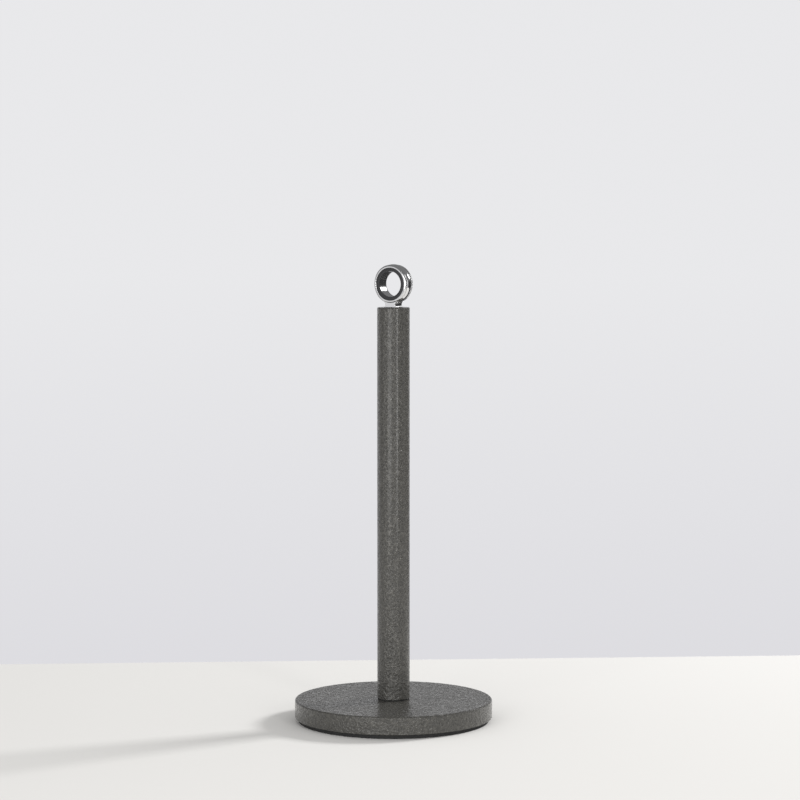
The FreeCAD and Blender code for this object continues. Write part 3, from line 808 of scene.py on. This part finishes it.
class TOWELHOLDER_OT_studio(HolderOperator, bpy.types.Operator):
    """Sets up the table, the backdrop, the lights and the camera"""
    bl_idname = "towel_holder.studio"
    bl_label = "Studio"

    def execute(self, context):
        studio = self.holder.studio
        turn = Matrix.Rotation(studio.heading, 4, "Z")
        self.lay_table(studio, turn)
        self.light_world(context.scene, studio)
        self.hang_lights(turn)
        self.set_camera(context.scene, studio, turn)
        context.scene.view_settings.view_transform = "Standard"
        return {"FINISHED"}

    def lay_table(self, studio, turn):
        """A pale matt slab under the holder, set a little askew."""
        mesh = bmesh.new()
        bmesh.ops.create_cube(mesh, size=1.0)
        depth = studio.table_behind + studio.table_before
        bmesh.ops.scale(mesh, vec=(studio.table_width, depth, TABLE_THICKNESS), verts=mesh.verts)
        middle = Vector((0, studio.table_behind - depth / 2, -TABLE_THICKNESS / 2))
        bmesh.ops.translate(mesh, vec=middle, verts=mesh.verts)
        askew = turn @ Matrix.Rotation(studio.table_turn, 4, "Z")
        bmesh.ops.transform(mesh, matrix=askew, verts=mesh.verts)
        table = new_piece(mesh, "studio_table")
        table.data.materials.append(table_material(studio))

    def light_world(self, scene, studio):
        """A pale backdrop for the camera, soft fill light, and a room with dark gaps that metal mirrors."""
        world = bpy.data.worlds.new("studio_room")
        world.use_nodes = True
        scene.world = world
        tree = world.node_tree
        facing = tree.nodes.new("ShaderNodeTexCoord").outputs["Generated"]
        turned_back = add_node(tree, "ShaderNodeVectorRotate", {
            "Vector": facing, "Angle": -studio.heading}, rotation_type="Z_AXIS")
        parts = add_node(tree, "ShaderNodeSeparateXYZ", {"Vector": turned_back.outputs[0]}).outputs
        shade = self.room_shade(tree, parts)
        rays = tree.nodes.new("ShaderNodeLightPath").outputs
        darkened = maths(tree, "MULTIPLY", rays["Is Glossy Ray"], maths(tree, "SUBTRACT", 1.0, shade))
        lit = maths(tree, "SUBTRACT", 1.0, darkened)
        seen = maths(tree, "MAXIMUM", rays["Is Camera Ray"], rays["Is Transmission Ray"])
        shown = maths(tree, "MAXIMUM", seen, rays["Is Glossy Ray"])
        fill = (FILL_SHADE, FILL_SHADE, FILL_SHADE, 1.0)
        # Painted shade: the backdrop darkens towards the table.
        level = remap(tree, parts["Z"], BACKDROP_LEVELS, (0.0, 1.0))
        backdrop = blend_colours(tree, level, studio.backdrop_shaded_foot, studio.backdrop)
        colour_seen = add_node(tree, "ShaderNodeMix", {
            "Factor": shown, 6: fill, 7: backdrop}, data_type="RGBA").outputs[2]
        background = tree.nodes["Background"]
        tree.links.new(colour_seen, background.inputs["Color"])
        tree.links.new(lit, background.inputs["Strength"])

    def room_shade(self, tree, parts):
        """How bright the mirrored room is in a direction, given as its parts to the right, away and up."""
        bearing = maths(tree, "ARCTAN2", parts["X"], parts["Y"])
        round_turn = remap(tree, bearing, (-math.pi, math.pi), (0.0, 1.0))
        walls = self.shades(tree, round_turn, WALL_SHADES, 360.0, 180.0)
        height = remap(tree, parts["Z"], (-1.0, 1.0), (0.0, 1.0))
        leaves_walls = self.shades(tree, height, LEVEL_SHARES, 2.0, 1.0)
        above = maths(tree, "GREATER_THAN", parts["Z"], CEILING_FROM)
        beyond = remap(tree, above, (0.0, 1.0), (FLOOR_SHADE, CEILING_SHADE))
        return add_node(tree, "ShaderNodeMix", {"Factor": leaves_walls, 2: walls, 3: beyond}).outputs[0]

    def shades(self, tree, position, stops, extent, offset):
        """Grey along a ramp of stops (place, grey), whose places run over the extent from -offset."""
        ramp = add_node(tree, "ShaderNodeValToRGB", {"Fac": position})
        elements = ramp.color_ramp.elements
        elements.remove(elements[0])
        elements[0].position = (stops[0][0] + offset) / extent
        elements[0].color = (stops[0][1], stops[0][1], stops[0][1], 1.0)
        for place, grey in stops[1:]:
            elements.new((place + offset) / extent).color = (grey, grey, grey, 1.0)
        return ramp.outputs["Color"]

    def hang_lights(self, turn):
        """The area lights, each facing the column; bright metal mirrors only some of them."""
        for name, place, width, height, power, mirrored in LIGHTS:
            data = bpy.data.lights.new(name, "AREA")
            data.shape = "RECTANGLE"
            data.size = width
            data.size_y = height
            data.energy = power
            lamp = bpy.data.objects.new(name, data)
            lamp.location = turn @ Vector(place)
            lamp.rotation_euler = (LIGHTS_AIM - lamp.location).to_track_quat("-Z", "Y").to_euler()
            lamp.visible_camera = False
            lamp.visible_glossy = mirrored
            bpy.context.scene.collection.objects.link(lamp)

    def set_camera(self, scene, studio, turn):
        """The camera, level from side to side and tilted down a little."""
        data = bpy.data.cameras.new("studio_camera")
        data.sensor_width = SENSOR_WIDTH
        data.lens = studio.lens
        camera = bpy.data.objects.new("studio_camera", data)
        camera.location = turn @ Vector((studio.side_step, -studio.distance, studio.eye_height))
        camera.rotation_euler = (math.pi / 2 - studio.tilt, 0, studio.heading)
        scene.collection.objects.link(camera)
        scene.camera = camera


class TOWELHOLDER_PT_panel(bpy.types.Panel):
    """Buttons and settings of the towel holder"""
    bl_idname = "TOWELHOLDER_PT_panel"
    bl_label = "Towel Holder"
    bl_space_type = "VIEW_3D"
    bl_region_type = "UI"
    bl_category = "Towel Holder"

    def draw(self, context):
        holder = context.scene.towel_holder
        for operator in OPERATORS:
            self.layout.operator(operator.bl_idname)
        for group in (holder.plinth, holder.column, holder.finial, holder.finishes, holder.studio):
            box = self.layout.box()
            for name in group.bl_rna.properties.keys():
                if name not in {"rna_type", "name"}:
                    box.prop(group, name)


SETTINGS = (PlinthSizes, ColumnSizes, FinialSizes, Finishes, Studio, TowelHolder)
OPERATORS = (
    TOWELHOLDER_OT_materials,
    TOWELHOLDER_OT_plinth,
    TOWELHOLDER_OT_column,
    TOWELHOLDER_OT_finial,
    TOWELHOLDER_OT_studio,
)


def register():
    """Adds the settings, operators and panel."""
    for item in (*SETTINGS, *OPERATORS, TOWELHOLDER_PT_panel):
        bpy.utils.register_class(item)
    bpy.types.Scene.towel_holder = PointerProperty(
        type=TowelHolder, name="Towel holder", description="Settings of the towel holder")


def unregister():
    """Takes the settings, operators and panel away again."""
    del bpy.types.Scene.towel_holder
    for item in reversed((*SETTINGS, *OPERATORS, TOWELHOLDER_PT_panel)):
        bpy.utils.unregister_class(item)


def main():
    """Builds the holder and its studio."""
    register()
    bpy.ops.towel_holder.materials()
    bpy.ops.towel_holder.plinth()
    bpy.ops.towel_holder.column()
    bpy.ops.towel_holder.finial()
    bpy.ops.towel_holder.studio()
    bpy.context.view_layer.update()


if __name__ == "__main__":
    main()
